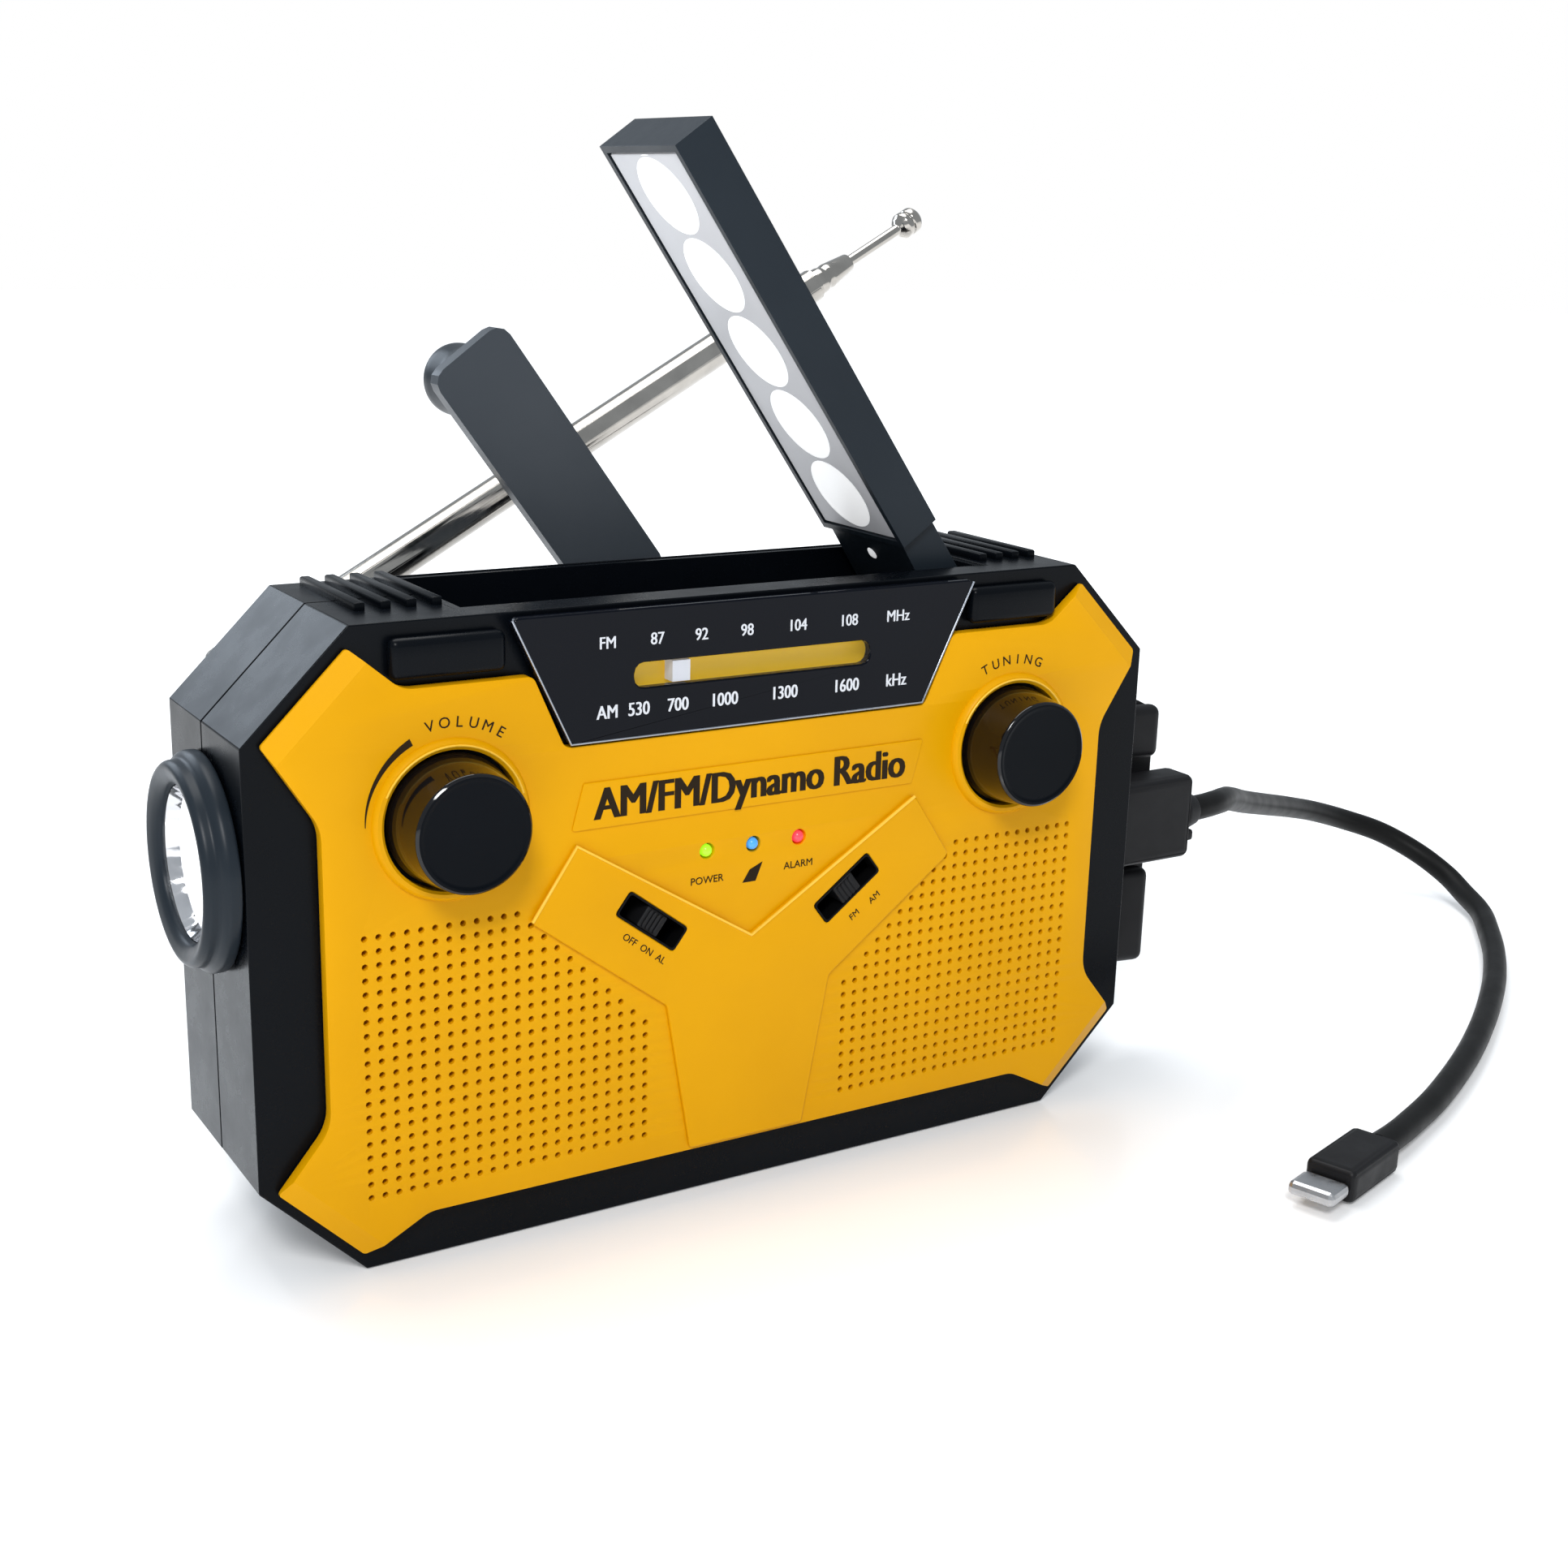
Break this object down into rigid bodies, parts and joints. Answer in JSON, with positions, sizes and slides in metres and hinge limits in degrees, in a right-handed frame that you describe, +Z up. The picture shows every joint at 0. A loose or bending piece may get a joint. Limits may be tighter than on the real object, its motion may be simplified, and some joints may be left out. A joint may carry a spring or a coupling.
{
  "type": "hand-crank emergency radio",
  "caption": "Portable emergency radio with fold-up reading lamp and solar panel, side torch, hand crank, telescopic antenna and a short charging lead plugged in.",
  "frame": {"origin": "on the underside, midway between the two ends of the case and midway between the shell's front face and its back", "axes": "+X along the front towards the socket side, +Y from the front to the back, +Z up"},
  "size_m": [0.3072, 0.1508, 0.1668],
  "materials": {
    "yellow_plastic": "satin moulded ABS",
    "black_plastic": "satin moulded ABS",
    "grey_plastic": "satin moulded ABS",
    "gloss_black": "polished",
    "white_plastic": "satin",
    "clear_plastic": "clear moulded plastic",
    "chrome": "polished plating",
    "steel": "plain steel",
    "rubber": "matt",
    "green_lens": "clear tinted",
    "blue_lens": "clear tinted",
    "red_lens": "clear tinted",
    "circuit_board": "solder mask",
    "solar_cells": "laminated",
    "cell_wrap": "shrink film"
  },
  "bodies": {
    "case": {"front_panel": "yellow_plastic", "front_shell": "black_plastic", "rear_shell": "black_plastic", "case_screw_1": "steel", "case_screw_2": "steel", "case_screw_3": "steel", "case_screw_4": "steel", "battery_cell": "cell_wrap", "dial_window": "gloss_black", "dial_plate": "yellow_plastic", "volume_pot": "steel", "tuning_capacitor": "white_plastic", "led_power": "green_lens", "led_charge": "blue_lens", "led_alarm": "red_lens", "left_switch_body": "steel", "right_switch_body": "steel", "speaker_left": "black_plastic", "speaker_right": "black_plastic", "main_board": "circuit_board", "lamp_tray": "black_plastic", "lamp_hinge_pin": "steel", "dynamo_case": "steel", "torch_bezel": "black_plastic", "torch_lens": "clear_plastic", "torch_reflector": "chrome", "torch_led": "white_plastic", "port_block": "black_plastic", "usb_a_socket": "steel", "micro_usb_socket": "steel", "usb_plug": "rubber", "usb_plug_shell": "steel", "charge_cable": "rubber", "phone_plug": "rubber", "phone_plug_tip": "steel"},
    "lamp": {"lamp_housing": "black_plastic", "lamp_diffuser": "white_plastic", "lamp_led_board": "circuit_board", "solar_panel": "solar_cells"},
    "crank_drive": {"crank_shaft": "white_plastic", "crank_hub": "grey_plastic", "crank_fold_pin": "steel"},
    "crank_handle": {"crank_arm": "grey_plastic"},
    "crank_grip": {"crank_knob": "black_plastic"},
    "idler": {"idler_gear": "white_plastic"},
    "dynamo": {"dynamo_rotor": "steel"},
    "antenna_swivel_base": {"antenna_knuckle": "chrome", "antenna_tilt_pin": "steel"},
    "antenna_outer": {"antenna_tube": "chrome"},
    "antenna_middle": {"antenna_section": "chrome"},
    "antenna_inner": {"antenna_rod": "chrome"},
    "volume_control": {"volume_knob": "gloss_black", "volume_shaft": "steel"},
    "tuning_control": {"tuning_knob": "gloss_black", "tuning_drum": "white_plastic"},
    "pointer": {"dial_pointer": "white_plastic"},
    "left_switch": {"left_slider": "black_plastic"},
    "right_switch": {"right_slider": "black_plastic"},
    "flap": {"port_cover": "rubber"},
    "battery_hatch": {"battery_door": "black_plastic"}
  },
  "joints": [
    {"name": "lamp_hinge", "type": "hinge", "parent": "case", "child": "lamp", "pos_m": [0.0435, 0.0017, 0.0936], "axis": [0, 1, 0], "range_deg": [-54.7, 35]},
    {"name": "crank_spin", "type": "hinge", "parent": "case", "child": "crank_drive", "pos_m": [0.009, 0.021, 0.082], "axis": [0, 1, 0], "continuous": true},
    {"name": "crank_fold", "type": "hinge", "parent": "crank_drive", "child": "crank_handle", "pos_m": [0.00483, 0.0256, 0.08762], "axis": [-0.8028, 0, -0.5962], "range_deg": [0, 25]},
    {"name": "knob_spin", "type": "hinge", "parent": "crank_handle", "child": "crank_grip", "pos_m": [-0.0232, 0.033, 0.12535], "axis": [0, 1, 0], "continuous": true},
    {"name": "idler_spin", "type": "hinge", "parent": "case", "child": "idler", "pos_m": [0.0164, 0.015, 0.0746], "axis": [0, 1, 0], "continuous": true},
    {"name": "dynamo_spin", "type": "hinge", "parent": "case", "child": "dynamo", "pos_m": [0.0124, 0.009, 0.0634], "axis": [0, 1, 0], "continuous": true},
    {"name": "antenna_swivel", "type": "hinge", "parent": "case", "child": "antenna_swivel_base", "pos_m": [-0.062, 0.033, 0.07905], "axis": [0, -1, 0], "range_deg": [-25.7, 110]},
    {"name": "antenna_tilt", "type": "hinge", "parent": "antenna_swivel_base", "child": "antenna_outer", "pos_m": [-0.062, 0.0415, 0.07905], "axis": [-0.4343, 0, 0.9008], "range_deg": [-9.8, 75]},
    {"name": "antenna_middle_slide", "type": "slide", "parent": "antenna_outer", "child": "antenna_middle", "axis": [0.8874, 0.1714, 0.4279], "range_m": [0, 0.08]},
    {"name": "antenna_inner_slide", "type": "slide", "parent": "antenna_middle", "child": "antenna_inner", "axis": [0.8874, 0.1714, 0.4279], "range_m": [-0.015, 0.08]},
    {"name": "volume_turn", "type": "hinge", "parent": "case", "child": "volume_control", "pos_m": [-0.05, -0.021, 0.0688], "axis": [0, 1, 0], "range_deg": [-150, 150]},
    {"name": "tuning_turn", "type": "hinge", "parent": "case", "child": "tuning_control", "pos_m": [0.05, -0.021, 0.0688], "axis": [0, 1, 0], "range_deg": [-39, 232]},
    {"name": "pointer_slide", "type": "slide", "parent": "case", "child": "pointer", "axis": [1, 0, 0], "range_m": [-0.0052, 0.0308]},
    {"name": "left_switch_slide", "type": "slide", "parent": "case", "child": "left_switch", "axis": [0.7986, 0, -0.6018], "range_m": [-0.0035, 0.0035]},
    {"name": "right_switch_slide", "type": "slide", "parent": "case", "child": "right_switch", "axis": [0.7986, 0, 0.6018], "range_m": [-0.0035, 0.0035]},
    {"name": "flap_hinge", "type": "hinge", "parent": "case", "child": "flap", "pos_m": [0.0786, 0.0012, 0.042], "axis": [0, 0, 1], "range_deg": [-2, 30]},
    {"name": "battery_hatch_slide", "type": "slide", "parent": "case", "child": "battery_hatch", "axis": [0, 1, 0], "range_m": [0, 0.015]}
  ],
  "couplings": [
    {"joint": "idler_spin", "follows": "crank_spin", "ratio": -3},
    {"joint": "dynamo_spin", "follows": "crank_spin", "ratio": 10.5},
    {"joint": "pointer_slide", "follows": "tuning_turn", "m_per_rad": 0.0076}
  ]
}
